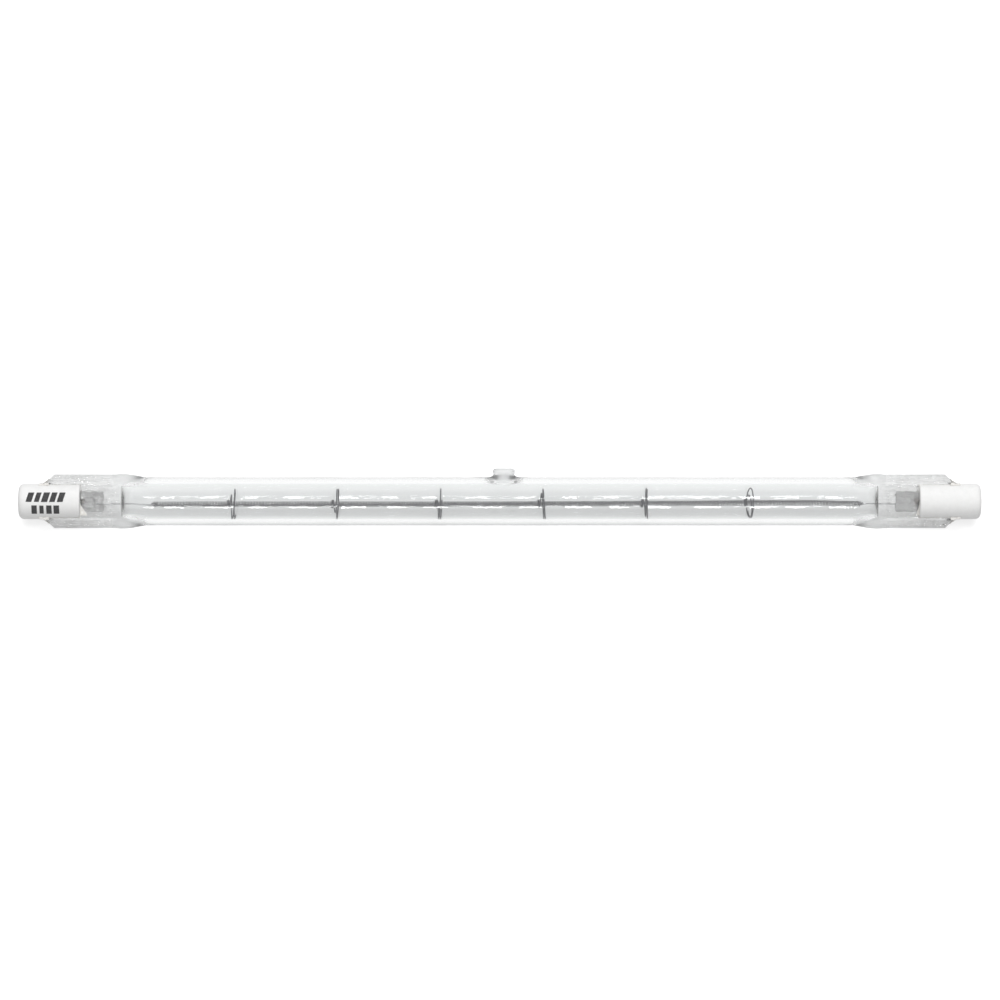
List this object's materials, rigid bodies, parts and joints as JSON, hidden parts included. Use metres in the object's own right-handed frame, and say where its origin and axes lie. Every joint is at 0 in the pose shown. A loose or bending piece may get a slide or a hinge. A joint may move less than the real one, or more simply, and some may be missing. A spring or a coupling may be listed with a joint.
{
  "type": "linear halogen bulb",
  "caption": "Double-ended linear halogen lamp: clear quartz tube with a coil filament on ring supports, flat pinch seals and round ceramic end caps with recessed contacts.",
  "frame": {"origin": "on the tube's axis, half-way between the ends of the two ceramic caps", "axes": "+X along the lamp, from the printed cap to the plain one; +Y across the flat of the pinch seals, on the side of the exhaust tip; +Z out of the flat of the seals, upwards as the lamp lies"},
  "size_m": [0.189, 0.012, 0.0094],
  "materials": {
    "quartz": "clear, fire-polished",
    "ceramic": "matt, off-white",
    "cement": "matt",
    "tungsten": "drawn wire, dark grey",
    "molybdenum_foil": "thin wrinkled foil",
    "molybdenum_wire": "drawn wire",
    "nickel_contact": "satin"
  },
  "bodies": {
    "root": {"quartz_envelope": "quartz", "filament_coil": "tungsten", "support_ring_1": "tungsten", "support_ring_2": "tungsten", "support_ring_3": "tungsten", "support_ring_4": "tungsten", "support_ring_5": "tungsten", "support_ring_6": "tungsten", "inner_lead_left": "tungsten", "inner_lead_right": "tungsten", "sealing_foil_left": "molybdenum_foil", "sealing_foil_right": "molybdenum_foil", "outer_lead_left": "molybdenum_wire", "outer_lead_right": "molybdenum_wire", "ceramic_cap_left": "ceramic", "ceramic_cap_right": "ceramic", "cement_left": "cement", "cement_right": "cement", "contact_button_left": "nickel_contact", "contact_button_right": "nickel_contact"}
  },
  "joints": []
}
